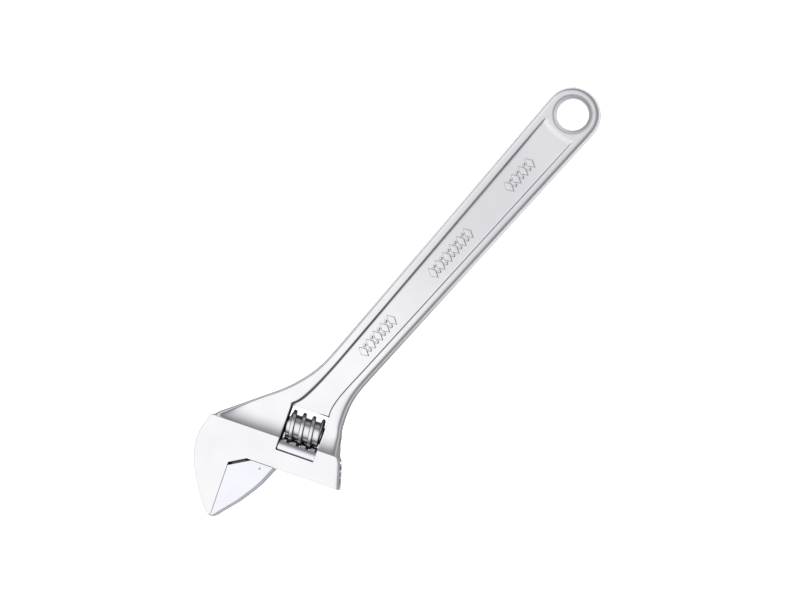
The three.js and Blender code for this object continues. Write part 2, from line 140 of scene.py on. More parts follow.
# the last value below is the same painted shade on the handle's side walls
SATIN_TONE, SATIN_ROUGHNESS, SATIN_REACH, SATIN_WALL_SHADE = (0.86, 0.86, 0.87), 0.18, 1.0, 0.75
RAIL_TOP = (0.2, 1.2)                                    # above the neck's face
RIM_REFLECTION = (0.62, 0.62, 0.62, 1)                   # the plate's tint at low angles
GRAIN_STRENGTH = 0.25
DARK_AT, LIGHT_AT = 0.3, 0.7                             # in the slow waves

# --------------------------------------------------------------------- studio
LEAN = (-0.35, 0.45, 1.0)                                # the way the sky is whitest
SKY = [(0.30, 0.30), (0.50, 0.21), (0.64, 0.28), (0.74, 0.46), (0.80, 0.62), (0.88, 0.78),
       (0.95, 0.92)]
SKY_COOL, SKY_STRENGTH = 1.02, 1.04
HORIZON, OVERHEAD = (0.40, 0.40, 0.41), (1, 1, 1)
FLOOR_SIZE, FLOOR_TONE, FLOOR_GLOW = 6, 0.95, 0.8
LENS, SENSOR, VIEW_WIDTH = 150.0, 36.0, 0.424            # the view's width is in metres
CAMERA_TILT, CAMERA_TURN, CAMERA_AIM = 4.5, 48.7, (1.4, 3.5)

# ---------------------------------------------------- how close is close enough
TOUCHING, CLOSE, AT_WALL, HAIR = 0.01, 0.02, 0.1, 0.06


def on_handle(x, y):
    """A plan point measured from the hang hole's centre, in millimetres."""
    return HANG + Vector((x, y, 0))


def on_jaw(u, v):
    """A plan point measured along and across the jaws, in millimetres."""
    return THROAT + (U_DIR * u + V_DIR * v)


# ------------------------------------------------------------------ workshop
def deselect():
    """Leaves edit mode and selects nothing."""
    if bpy.context.object and bpy.context.object.mode != "OBJECT":
        bpy.ops.object.mode_set(mode="OBJECT")
    bpy.ops.object.select_all(action="DESELECT")


def pick(piece):
    deselect()
    piece.select_set(True)
    bpy.context.view_layer.objects.active = piece


def edit(piece):
    """Opens a piece in edit mode with all of it selected."""
    pick(piece)
    bpy.ops.object.mode_set(mode="EDIT")
    bpy.ops.mesh.select_all(action="SELECT")


def done():
    bpy.ops.object.mode_set(mode="OBJECT")
    return bpy.context.object


def named(name):
    """Gives the piece just made a name, and its mesh the same one."""
    piece = bpy.context.object
    piece.name = name
    piece.data.name = name
    return piece


def apply_modifier(piece, kind, **values):
    """Gives a piece a modifier and applies it at once."""
    pick(piece)
    modifier = piece.modifiers.new(kind.lower(), kind)
    for key, value in values.items():
        setattr(modifier, key, value)
    bpy.ops.object.modifier_apply(modifier=modifier.name)


def outward():
    """Turns all faces of the piece in edit mode outwards."""
    bpy.ops.mesh.select_all(action="SELECT")
    bpy.ops.mesh.normals_make_consistent(inside=False)


def cut(piece, tool, operation="DIFFERENCE"):
    """Takes a tool from a piece, adds it or keeps what they share, and uses it up."""
    apply_modifier(piece, "BOOLEAN", object=tool, operation=operation, solver="MANIFOLD")
    bpy.data.objects.remove(tool, do_unlink=True)


def select_faces(piece, test):
    """Picks the faces whose centre and normal pass the test, in edit mode."""
    mesh = bmesh.from_edit_mesh(piece.data)
    for vert in mesh.verts:
        vert.select = False
    for edge in mesh.edges:
        edge.select = False
    for face in mesh.faces:
        face.select = False
    bpy.ops.mesh.select_mode(type="FACE")
    for face in mesh.faces:
        face.select_set(bool(test(face.calc_center_median(), face.normal)))
    bmesh.update_edit_mesh(piece.data)


def select_cap(piece, side):
    """Picks the level face on top of a piece (1) or under it (-1), in edit mode."""
    select_faces(piece, lambda centre, normal: normal.z * side > 0.9)


def select_edges(piece, test, open_only=False):
    """Picks the edges whose two ends pass the test, in edit mode."""
    bpy.ops.mesh.select_mode(type="EDGE")
    bpy.ops.mesh.select_all(action="DESELECT")
    mesh = bmesh.from_edit_mesh(piece.data)
    for edge in mesh.edges:
        a, b = edge.verts
        wanted = edge.is_boundary or not open_only
        edge.select_set(bool(wanted and test(a.co, b.co)))
    bmesh.update_edit_mesh(piece.data)


def jaw_matrix(v=0.0):
    """Local X, Y, Z along u, v and up, with the origin at u nought and the given v."""
    matrix = Matrix((
        (U_DIR.x, V_DIR.x, 0, 0),
        (U_DIR.y, V_DIR.y, 0, 0),
        (0, 0, 1, 0),
        (0, 0, 0, 1),
    ))
    matrix.translation = on_jaw(0, v)
    return matrix


def settle(piece, matrix=None):
    """Puts a piece in its place and applies that place to its mesh."""
    if matrix is not None:
        piece.matrix_world = matrix @ piece.matrix_world
    pick(piece)
    bpy.ops.object.transform_apply(location=True, rotation=True, scale=True)
    return piece


def copied(piece, matrix):
    """A copy with its own mesh, settled at its place."""
    copy = piece.copy()
    copy.data = piece.data.copy()
    bpy.context.scene.collection.objects.link(copy)
    return settle(copy, matrix)


def into_place(piece):
    """From millimetres about the middle plane to metres on the floor."""
    return settle(piece, Matrix.Translation((0, 0, MID_Z)) @ Matrix.Scale(MM, 4))


def plate(name, outline, half):
    """A flat piece: its outline drawn on its lower face and extruded to its upper one."""
    deselect()
    bpy.ops.mesh.primitive_circle_add(vertices=len(outline), radius=1, fill_type="NGON")
    piece = named(name)
    for vert, (u, v) in zip(piece.data.vertices, outline):
        vert.co = Vector((u, v, -half))
    edit(piece)
    bpy.ops.mesh.extrude_region_move(
        TRANSFORM_OT_translate={"value": (0, 0, 2 * half)})
    outward()
    return done()


def rod(name, radius, start, end, sides=64, bevel=0.0):
    """A round bar along local X with its end rims bevelled."""
    deselect()
    bpy.ops.mesh.primitive_cylinder_add(
        vertices=sides, radius=radius, depth=(end - start),
        location=((start + end) / 2, 0, 0), rotation=(0, math.pi / 2, 0))
    piece = settle(named(name))
    if bevel:
        edit(piece)
        select_edges(piece, lambda a, b: abs(a.x - b.x) < TOUCHING)
        bpy.ops.mesh.bevel(offset=bevel, segments=3, profile=0.5)
        done()
    return piece


def block(name, low, high):
    """A box between two corners."""
    deselect()
    size = [(b - a) for a, b in zip(low, high)]
    middle = [(a + b) / 2 for a, b in zip(low, high)]
    bpy.ops.mesh.primitive_cube_add(size=1, location=middle)
    piece = named(name)
    piece.scale = size
    return settle(piece)


def smooth(piece):
    """Shades a piece smooth, with its corners above 32 degrees kept sharp."""
    pick(piece)
    bpy.ops.object.shade_smooth_by_angle(angle=math.radians(32))
    apply_modifier(piece, "WEIGHTED_NORMAL", keep_sharp=True)


def finish_piece(piece, body, material, node):
    """Smooths and plates a piece, attaches it to its body and hides the CAD node it stands in
    for.
    """
    smooth(piece)
    piece.data.materials.clear()
    piece.data.materials.append(material)
    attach(piece, body)
    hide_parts(node)


# -------------------------------------------------------------- shader nodes
def feed(tree, socket, value):
    """Sets a socket, or links another node's output to it."""
    if isinstance(value, bpy.types.NodeSocket):
        tree.links.new(value, socket)
    else:
        socket.default_value = value


def maths(tree, operation, *values, clamp=False):
    node = tree.nodes.new("ShaderNodeMath")
    node.operation = operation
    node.use_clamp = clamp
    for socket, value in zip(node.inputs, values):
        feed(tree, socket, value)
    return node.outputs[0]


def vector_maths(tree, operation, first, second, output="Value"):
    node = tree.nodes.new("ShaderNodeVectorMath")
    node.operation = operation
    feed(tree, node.inputs[0], first)
    feed(tree, node.inputs[1], second)
    return node.outputs[output]


def ranged(tree, value, source=(0.0, 1.0), target=(0.0, 1.0), smoothed=False):
    """A value carried from one range to another and held inside it."""
    node = tree.nodes.new("ShaderNodeMapRange")
    if smoothed:
        node.interpolation_type = "SMOOTHSTEP"
    feed(tree, node.inputs["Value"], value)
    for label, end in zip(("From Min", "From Max", "To Min", "To Max"), (*source, *target)):
        feed(tree, node.inputs[label], end)
    return node.outputs["Result"]


def part_of(tree, vector, letter):
    """One of a vector's three parts."""
    node = tree.nodes.new("ShaderNodeSeparateXYZ")
    feed(tree, node.inputs[0], vector)
    return node.outputs[letter]


def uprightness(tree, side):
    """None on a side wall and full on a level face, above or below."""
    return maths(tree, "ABSOLUTE", part_of(tree, side, "Z"))


def noise(tree, place, size, detail):
    node = tree.nodes.new("ShaderNodeTexNoise")
    feed(tree, node.inputs["Vector"], place)
    feed(tree, node.inputs["Scale"], size)
    node.inputs["Detail"].default_value = detail
    return node.outputs["Fac"]


def multiplied(tree, share, first, second):
    """Two colours multiplied, by a share of the second."""
    node = tree.nodes.new("ShaderNodeMix")
    node.data_type = "RGBA"
    node.blend_type = "MULTIPLY"
    feed(tree, node.inputs["Factor"], share)
    feed(tree, node.inputs["A"], first)
    feed(tree, node.inputs["B"], second)
    return node.outputs["Result"]


def colour_ramp(tree, value, stops):
    """A ramp through stops of a position and a colour, in order."""
    node = tree.nodes.new("ShaderNodeValToRGB")
    elements = node.color_ramp.elements
    for element, (position, colour) in zip(elements, (stops[0], stops[-1])):
        element.position = position
        element.color = (*colour, 1)
    for position, colour in stops[1:-1]:
        elements.new(position).color = (*colour, 1)
    feed(tree, node.inputs["Fac"], value)
    return node.outputs["Color"]


def group_tree(name, inputs, outputs):
    """A node group with its named sockets, and the ends of its inside wires."""
    tree = bpy.data.node_groups.new(name, "ShaderNodeTree")
    for label, kind, value in inputs:
        socket = tree.interface.new_socket(name=label, in_out="INPUT", socket_type=kind)
        if value is not None:
            socket.default_value = value
    for label in outputs:
        tree.interface.new_socket(name=label, in_out="OUTPUT", socket_type="NodeSocketFloat")
    given = tree.nodes.new("NodeGroupInput").outputs
    result = tree.nodes.new("NodeGroupOutput").inputs
    return tree, given, result


def placed_group(tree, group, place):
    """A group put in a material and told where on the piece it is."""
    node = tree.nodes.new("ShaderNodeGroup")
    node.node_tree = group
    tree.links.new(place["Object"], node.inputs["Vector"])
    tree.links.new(place["Normal"], node.inputs["Side"])
    return node


# ------------------------------------------------------------------ materials
def buffed_plate_group():
    """Buffed plate: slow waves, fine grain, and painted shade on side walls and in recesses."""
    tree, given, result = group_tree("buffed_plate_and_shade", [
        ("Vector", "NodeSocketVector", None),
        ("Side", "NodeSocketVector", None),
        ("Base roughness", "NodeSocketFloat", 0.12),
        ("Grain size", "NodeSocketFloat", 900.0),
        ("Spread", "NodeSocketFloat", 0.06),
        ("Recess reach", "NodeSocketFloat", 0.003),
        ("Wall painted shade", "NodeSocketFloat", 0.45),
    ], ["Roughness", "Height", "Tint", "Shade"])
    waves = noise(tree, given["Vector"], WAVE_SIZE, WAVE_DETAIL)
    grain = noise(tree, given["Vector"], given["Grain size"], GRAIN_DETAIL)
    spread = maths(tree, "MULTIPLY", maths(tree, "SUBTRACT", waves, 0.5), given["Spread"])
    upright = uprightness(tree, given["Side"])
    unpolished = ranged(tree, upright, LEANING, (WALL_ROUGHNESS, 0.0))
    face_rough = maths(tree, "ADD", spread, given["Base roughness"])
    rough = maths(tree, "ADD", face_rough, unpolished, clamp=True)
    # painted shade: side walls take a darker colour the more upright they stand
    wall = ranged(tree, upright, LEANING, (given["Wall painted shade"], 1.0))
    # painted shade in recesses: the colour darkens where little open sky is seen
    hollow = tree.nodes.new("ShaderNodeAmbientOcclusion")
    hollow.samples = RECESS_SAMPLES
    tree.links.new(given["Recess reach"], hollow.inputs["Distance"])
    open_sky = ranged(tree, hollow.outputs["AO"], SKY_SEEN, (DEEPEST, 1.0))
    tree.links.new(rough, result["Roughness"])
    tree.links.new(grain, result["Height"])
    tree.links.new(waves, result["Tint"])
    # Shade: the painted shade of side walls and recesses together
    tree.links.new(maths(tree, "MULTIPLY", wall, open_sky), result["Shade"])
    return tree


def forging_zones_group():
    """Masks for the handle's satin, which spares slopes as a painted highlight, the hang hole's
    lip and the worm's window, whose walls get painted shade.
    """
    tree, given, result = group_tree("forging_zones", [
        ("Vector", "NodeSocketVector", None),
        ("Side", "NodeSocketVector", None),
    ], ["Satin", "Dull, slopes highlit", "Lip", "Window"])
    satin = ranged(tree, part_of(tree, given["Vector"], "X"),
                   (POLISH_END * MM, SATIN_START * MM), smoothed=True)
    level = ranged(tree, uprightness(tree, given["Side"]), LEVEL)
    flat = vector_maths(tree, "MULTIPLY", given["Vector"], (1, 1, 0), "Vector")
    away = vector_maths(tree, "DISTANCE", flat, HANG * MM)
    lip_ends = [(LIP_R + fade) * MM for fade in LIP_FADE]
    plain_v = (WINDOW_V[0] + WINDOW_LEDGE, WINDOW_V[1])
    sides = []
    for way, (low, high) in ((U_DIR, WINDOW_U), (V_DIR, plain_v)):
        along = vector_maths(tree, "DOT_PRODUCT", given["Vector"], way)
        middle = (THROAT.dot(way) + (low + high) / 2) * MM
        half = ((high - low) / 2 + WINDOW_MARGIN) * MM
        sides.append(maths(tree, "COMPARE", along, middle, half))
    tree.links.new(satin, result["Satin"])
    # the satin dulls only level faces, so slopes and rounded edges keep a painted highlight
    tree.links.new(maths(tree, "MULTIPLY", satin, level), result["Dull, slopes highlit"])
    tree.links.new(ranged(tree, away, lip_ends, (1.0, 0.0)), result["Lip"])
    tree.links.new(maths(tree, "MULTIPLY", *sides), result["Window"])
    return tree


def rail_reach(tree, height, reach, top_reach):
    """How far the painted shade in recesses reaches: far down in the slot, near on top of the
    rail.
    """
    above = maths(tree, "ABSOLUTE", maths(tree, "SUBTRACT", height, MID_Z))
    ends = [(NECK_Z + step) * MM for step in RAIL_TOP]
    return ranged(tree, above, ends, (reach * MM, top_reach * MM))


def forging_finish_and_shade(tree, place, buff, shader, colour, reach):
    """Satin on the handle with its slopes left bright as a painted highlight, a soft lip kept out
    of the painted shade, and bare window walls painted black as shade; gives colour, gloss,
    shade.
    """
    zone = placed_group(tree, FORGING_ZONES, place).outputs
    colour = multiplied(tree, zone["Dull, slopes highlit"], colour, (*SATIN_TONE, 1))
    gloss = maths(tree, "MULTIPLY_ADD", zone["Dull, slopes highlit"], SATIN_ROUGHNESS, buff.outputs["Roughness"])
    for mask, most in ((zone["Lip"], LIP_ROUGHNESS), (zone["Window"], WINDOW_ROUGHNESS)):
        gloss = maths(tree, "MAXIMUM", gloss, ranged(tree, mask, target=(0.0, most)))
    # how far the painted shade in recesses reaches, nearer on the satin handle
    reaches = (reach * MM, SATIN_REACH * MM)
    feed(tree, buff.inputs["Recess reach"], ranged(tree, zone["Satin"], target=reaches))
    # painted shade on side walls: darker on the head than on the handle
    wall = ranged(tree, zone["Satin"], target=(HEAD_WALL_SHADE, SATIN_WALL_SHADE))
    # the window's walls are painted black, a painted shade
    wall = maths(tree, "SUBTRACT", wall, zone["Window"], clamp=True)
    feed(tree, buff.inputs["Wall painted shade"], wall)
    # the window's walls are left unplated
    feed(tree, shader.inputs["Metallic"], ranged(tree, zone["Window"], target=(1.0, 0.0)))
    # the hang hole's lip is kept out of the painted shade, so it reads lighter
    return colour, gloss, maths(tree, "MAXIMUM", buff.outputs["Shade"], zone["Lip"])


def buffed_metal(name, light, dark, roughness, grain_depth, grain_size, spread, reach,
                 zoned=False, top_reach=None):
    """Chrome or steel whose tone, roughness and grain vary over the surface, with painted shade
    multiplied into its colour.
    """
    material = bpy.data.materials.new(name)
    material.use_nodes = True
    tree = material.node_tree
    shader = tree.nodes["Principled BSDF"]
    shader.inputs["Metallic"].default_value = 1.0
    shader.inputs["Specular Tint"].default_value = RIM_REFLECTION
    place = tree.nodes.new("ShaderNodeTexCoord").outputs
    buff = placed_group(tree, BUFFED_PLATE_AND_SHADE, place)
    buff.inputs["Base roughness"].default_value = roughness
    buff.inputs["Grain size"].default_value = grain_size
    buff.inputs["Spread"].default_value = spread
    buff.inputs["Recess reach"].default_value = reach * MM
    colour = colour_ramp(tree, buff.outputs["Tint"], [(DARK_AT, dark), (LIGHT_AT, light)])
    gloss, shade = buff.outputs["Roughness"], buff.outputs["Shade"]
    if top_reach:
        height = part_of(tree, place["Object"], "Z")
        feed(tree, buff.inputs["Recess reach"], rail_reach(tree, height, reach, top_reach))
    if zoned:
        colour, gloss, shade = forging_finish_and_shade(tree, place, buff, shader, colour, reach)
    # the colour takes the painted shade of side walls and recesses
    tree.links.new(multiplied(tree, 1.0, colour, shade), shader.inputs["Base Color"])
    tree.links.new(gloss, shader.inputs["Roughness"])
    bump = tree.nodes.new("ShaderNodeBump")
    bump.inputs["Strength"].default_value = GRAIN_STRENGTH
    bump.inputs["Distance"].default_value = grain_depth * MM
    tree.links.new(buff.outputs["Height"], bump.inputs["Height"])
    tree.links.new(bump.outputs["Normal"], shader.inputs["Normal"])
    return material


BUFFED_PLATE_AND_SHADE = buffed_plate_group()
FORGING_ZONES = forging_zones_group()
BODY_CHROME = buffed_metal(
    "forged_body_chrome", light=(0.92, 0.92, 0.94), dark=(0.87, 0.87, 0.90), roughness=0.13,
    grain_depth=0.02, grain_size=1400, spread=0.08, reach=3.0, zoned=True)
JAW_CHROME = buffed_metal(
    "moving_jaw_chrome", light=(0.90, 0.90, 0.96), dark=(0.86, 0.86, 0.93), roughness=0.12,
    grain_depth=0.02, grain_size=1400, spread=0.06, reach=2.5, top_reach=0.5)
WORM_CHROME = buffed_metal(
    "worm_chrome", light=(0.88, 0.88, 0.90), dark=(0.78, 0.78, 0.80), roughness=0.12,
    grain_depth=0.03, grain_size=1800, spread=0.08, reach=1.6)
PIN_STEEL = buffed_metal(
    "pin_steel", light=(0.62, 0.62, 0.63), dark=(0.5, 0.5, 0.52), roughness=0.3,
    grain_depth=0.05, grain_size=2500, spread=0.1, reach=2.0)
SPRING_STEEL = buffed_metal(
    "spring_steel", light=(0.5, 0.5, 0.52), dark=(0.38, 0.38, 0.4), roughness=0.32,
    grain_depth=0.05, grain_size=2500, spread=0.1, reach=2.0)


# -------------------------------------------------------------- forged body
def across_v(point):
    """How far a point is from the throat towards the handle."""
    return (Vector((point.x, point.y, 0)) - THROAT).dot(V_DIR)


def along_u(point):
    """How far a point is along the jaw's way of opening."""
    return (Vector((point.x, point.y, 0)) - THROAT).dot(U_DIR)


def body_height(x, v):
    """Half thickness of the forging at a plan point."""
    if v <= SCOOP_START:
        return HEAD_Z
    if v < SCOOP_END:
        drop = (SCOOP_END - v) / (SCOOP_END - SCOOP_START)
        return SHOULDER_Z + (HEAD_Z - SHOULDER_Z) * drop * drop
    blend = min(max((SHOULDER_X - x) / SHOULDER_LONG, 0), 1)
    blend = blend * blend * (3 - 2 * blend)
    return RIM_Z + (SHOULDER_Z - RIM_Z) * blend


def cage_row(left, left_wall, right_wall, right, edge=HANDLE_EDGE, left_edge=None,
             draft=DRAFT, deep=1.0, arc=0.0, window=False):
    """A row across the forging: its sides, the panel's walls and how they are shaped.

    deep is the share of the panel's depth, arc bows the row's middle towards the
    hang hole, and draft leans the right side wall.
    """
    return {
        "left": left, "left_wall": left_wall, "right_wall": right_wall, "right": right,
        "edge": edge, "left_edge": left_edge or edge, "draft": draft,
        "deep": deep, "arc": arc, "window": window,
    }


def handle_row(x, deep, arc=0.0):
    """A row across the handle, square to its length."""
    half = END_HALF + TAPER * x
    wall = half - RIM
    bow = arc * wall * wall
    return cage_row(on_handle(x + bow, half), on_handle(x + bow, wall),
                    on_handle(x + bow, -wall), on_handle(x + bow, -half), deep=deep, arc=arc)


def head_row(v, left, right, edge=HEAD_EDGE, left_edge=None, draft=DRAFT, window=False):
    """A row across the head, along the jaws' direction."""
    return cage_row(left, on_jaw(WINDOW_U[0], v), on_jaw(WINDOW_U[1], v), right, edge,
                    left_edge, draft, deep=1.0 if window else 0.0, window=window)


def handle_rows():
    """From the hang hole, down into the panel and along it to the neck."""
    end = [(-12.2, 0.0, END_ARC), (-12.8, 0.03, END_ARC), (-14.9, 0.40, END_ARC),
           (-15.5, 0.44, END_ARC), (-19.0, 0.52, 0.008), (-25, 0.8, 0.0)]
    rows = [handle_row(x, 0) for x in (0, -5, -10)]
    rows += [handle_row(*place) for place in end]
    return rows + [handle_row(x, 1) for x in (-33, -50, -80, -110, -140, -162, -176)]


def neck_rows():
    """The neck, where the rows turn from the handle's way to the head's."""
    points = [
        ((-183.5, 12.3), (-183.5, 6.7), (-183.3, -6.5), (-183, -12.2)),
        ((-190.5, 13.0), (-190.5, 6.8), (-189.8, -6.3), (-189, -12.7)),
        ((-198.0, 14.9), (-197.6, 7.0), (-196.2, -6.6), (-195, -14.2)),
        ((-205.1, 17.3), (-204.2, 7.6), (-200.6, -7.3), (-199.6, -16.0)),
        ((-210.8, 20.0), (-209.3, 8.5), (-203.2, -8.2), (-202.8, -17.4)),
    ]
    rows = [cage_row(*[on_handle(x, y) for x, y in row]) for row in points]
    behind = WINDOW_V[1] + 1.0
    rows.append(cage_row(on_handle(-213.9, 21.7), on_jaw(WINDOW_U[0] - 0.2, behind),
                         on_jaw(WINDOW_U[1], behind), on_handle(-204.6, -18.2)))
    return rows


def window_rows():
    """The head beside the worm's window, from the neck to the head's flat face."""
    low, top = WINDOW_V
    beside = [
        (top, (-215.4, 22.5), (-205.8, -18.9), HANDLE_EDGE, HANDLE_EDGE, DRAFT),
        (top - 0.6, (-217.0, 23.4), (-206.7, -19.4), HANDLE_EDGE, HANDLE_EDGE, DRAFT),
        (36.5, (-222.1, 26.3), (-208.6, -21.1), 2.1, 2.4, 0.5),
        (33.0, (-228.1, 29.6), (-210.7, -22.6), 1.9, 2.8, 0.9),
        (30.0, (-232.9, 32.3), (-212.3, -23.9), 1.7, 3.2, 1.3),
        (27.0, (-237.4, 34.7), (-213.7, -25.4), 1.5, 3.6, 1.7),
    ]
    scoop = [
        (24.6, -14.5, 54.3, 1.3, 3.9, 2.0), (22.9, -15.6, 54.8, 1.1, 4.0, 2.1),
        (22.1, -16.6, 55.1, 0.9, 3.2, 2.0),
        (SCOOP_START, -18.3, RIGHT_U, HEAD_EDGE, HEAD_EDGE, 1.6),
        (21.2, -18.4, 55.6, HEAD_EDGE, HEAD_EDGE, 0.8),
        (18.5, -18.7, 56.4, HEAD_EDGE, HEAD_EDGE, DRAFT),
        (low + 0.6, -19.5, 57.2, HEAD_EDGE, HEAD_EDGE, DRAFT),
    ]
    rows = [head_row(v, on_handle(*left), on_handle(*right), *shape, window=True)
            for v, left, right, *shape in beside]
    return rows + [head_row(v, on_jaw(left, v), on_jaw(right, v), *shape, window=True)
                   for v, left, right, *shape in scoop]


def face_rows():
    """The head's flat face and the fixed jaw's curved back, down to its nose."""
    low = WINDOW_V[0]
    rows = [head_row(v, on_jaw(left, v), on_jaw(right, v))
            for v, left, right in ((low, -19.7, 57.4), (low - 0.6, -19.9, 57.6))]
    back = [
        (11.5, -20.75), (7.5, -21.0), (3.0, -20.5), (-1.0, -19.4), (-5.0, -17.95),
        (-9.0, -16.15), (-13.0, -14.0), (-17.0, -11.6), (-21.0, -9.0), (-25.0, -5.9),
        (-28.2, -2.8), (-JAW_DEPTH, -0.9),
    ]
    for v, left in back:
        right = RIGHT_U + (SCOOP_START - v) * RIGHT_SLOPE
        rows.append(head_row(v, on_jaw(left, v), on_jaw(min(right, RIGHT_END_U), v)))
    return rows


def side_points(row, outer, wall, edge, draft):
    """Up a side wall, over its rounded edge, across the rim and down its inner wall."""
    reach = (wall - outer).length
    way = (wall - outer).normalized()
    places = [0, draft, draft + EDGE_SOFT * edge, draft + edge, (draft + edge + reach) / 2]
    places += [reach + step for step in (WINDOW_FOOT if row["window"] else PANEL_FOOT)]
    points = []
    for number, distance in enumerate(places):
        spot = outer + way * distance
        top = body_height(spot.x - HANG.x, across_v(spot))
        floor = top - row["deep"] * (top - FLOOR_Z)
        heights = [0, top - edge, top - EDGE_SOFT * edge, top, top, top]
        if row["window"]:
            heights += [top, top - WINDOW_SOFT, floor]
        else:
            wall_height = top - floor
            heights += [top - PANEL_SOFT * wall_height, floor + PANEL_CORNER * wall_height, floor]
        points.append(Vector((spot.x, spot.y, heights[number])))
    return points


def row_points(row):
    """The top surface along one row, from its left side wall to its right one."""
    left = side_points(row, row["left"], row["left_wall"], row["left_edge"], DRAFT)
    right = side_points(row, row["right"], row["right_wall"], row["edge"], row["draft"])
    a, b = left[-1], right[-1]
    middle = []
    for part in FLOOR_PARTS:
        spot = a.lerp(b, part)
        bow = row["arc"] * (a - b).length ** 2 * part * (1 - part)
        middle.append(spot - Vector((bow, 0, 0)))
    return left + middle + right[::-1]


def forging_cage():
    """The upper half of the forging as a coarse grid, a row of points at a time."""
    rows = [row_points(row)
            for row in handle_rows() + neck_rows() + window_rows() + face_rows()]
    across, along = len(rows[0]), len(rows)
    deselect()
    bpy.ops.mesh.primitive_grid_add(x_subdivisions=across - 1, y_subdivisions=along - 1, size=1)
    body = named("forged_body")
    for number, vert in enumerate(body.data.vertices):
        vert.co = rows[number // across][number % across]
    return body


def round_the_end(body):
    """Spins half of the first row round the hang hole."""
    edit(body)
    select_edges(body, lambda a, b: abs(a.x - HANG.x) < TOUCHING
                 and abs(b.x - HANG.x) < TOUCHING and (a.y + b.y) / 2 > HANG.y)
    bpy.ops.mesh.spin(steps=END_STEPS, angle=math.pi, center=(HANG.x, HANG.y, 0),
                      axis=(0, 0, 1))
    bpy.ops.mesh.select_all(action="SELECT")
    bpy.ops.mesh.remove_doubles(threshold=CLOSE)
    done()


def crease_across(body, rim, low, crease, test):
    """Keeps the edges across the forging at one v, above a height, from going soft."""
    select_edges(body, lambda a, b: min(a.z, b.z) > low and all(
        abs(across_v(point) - rim) < CLOSE and test(point) for point in (a, b)))
    bpy.ops.transform.edge_crease(value=crease)


def open_window(body):
    """Takes out the panel between the worm's walls and runs those walls down."""
    left, right = WINDOW_U
    lower, upper = WINDOW_V
    edit(body)
    select_faces(body, lambda centre, normal: left + HAIR < along_u(centre) < right - HAIR
                 and lower < across_v(centre) < upper)
    bpy.ops.mesh.delete(type="FACE")
    select_edges(body, lambda a, b: max(a.z, b.z) > 0.5, open_only=True)
    bpy.ops.mesh.extrude_edges_move()
    mesh = bmesh.from_edit_mesh(body.data)
    for vert in mesh.verts:
        if vert.select:
            vert.co.z = 0
    bmesh.update_edit_mesh(body.data)
    bpy.ops.mesh.select_all(action="SELECT")
    bpy.ops.mesh.remove_doubles(threshold=TOUCHING)
    outward()
    crease_across(body, SCOOP_START, HEAD_Z - 1, 0.8, lambda point: True)
    for rim in WINDOW_V:
        crease_across(body, rim, FLOOR_Z - 0.1, 1.0,
                      lambda point: left - AT_WALL < along_u(point) < right + AT_WALL)
    done()


def mouth_cutter():
    """The room between the jaws and in front of the head, with flared rims."""
    facet_end = (FRONT_V - FACET_V) / math.tan(math.radians(FACET_ANGLE))
    outline = [(0, MOUTH_LOW_V), (MOUTH_END_U, MOUTH_LOW_V), (MOUTH_END_U, FRONT_V),
               (facet_end, FRONT_V), (0, FACET_V)]
    tool = plate("mouth_tool", outline, HEAD_Z - MOUTH_FLARE_DEEP)
    edit(tool)
    for side in (1, -1):
        select_cap(tool, side)
        bpy.ops.mesh.inset(thickness=MOUTH_FLARE, depth=MOUTH_FLARE_DEEP, use_outset=True)
        bpy.ops.mesh.extrude_region_move(
            TRANSFORM_OT_translate={"value": (0, 0, side * CUT_THROUGH)})
    done()
    return settle(tool, jaw_matrix())


def hang_cutter():
    """A waisted plug: straight in the middle, dished out to both faces."""
    slope = math.radians(LIP_SLOPE)
    curve = (LIP_R - BORE_R) / math.sin(slope)
    deselect()
    bpy.ops.mesh.primitive_cylinder_add(
        vertices=96, radius=BORE_R, location=(HANG.x, HANG.y, 0),
        depth=2 * (RIM_Z + OVER - curve * (1 - math.cos(slope))))
    tool = settle(named("hang_tool"))
    edit(tool)
    for side in (1, -1):
        select_cap(tool, side)
        last = (0.0, 0.0)
        for step in range(1, LIP_STEPS + 1):
            turn = slope * (1 - step / LIP_STEPS)
            out = curve * (math.sin(slope) - math.sin(turn))
            up = curve * (math.cos(turn) - math.cos(slope))
            grow = (BORE_R + out) / (BORE_R + last[0])
            bpy.ops.mesh.extrude_region_move(
                TRANSFORM_OT_translate={"value": (0, 0, side * (up - last[1]))})
            bpy.ops.transform.resize(value=(grow, grow, 1), center_override=(HANG.x, HANG.y, 0))
            last = (out, up)
        bpy.ops.mesh.extrude_region_move(
            TRANSFORM_OT_translate={"value": (0, 0, side * PLUG_END)})
    outward()
    return done()


def mark_stamp(name, outline):
    """One raised mark at the panel's height, with its top edges bevelled."""
    stamp = plate(name, outline, 1.0)
    for vert in stamp.data.vertices:
        vert.co.z = MARK_TOP if vert.co.z > 0 else MARK_FOOT
    edit(stamp)
    select_edges(stamp, lambda a, b: min(a.z, b.z) > MARK_TOP - 0.1)
    bpy.ops.mesh.bevel(offset=MARK_EDGE, segments=2, profile=0.5)
    return done()


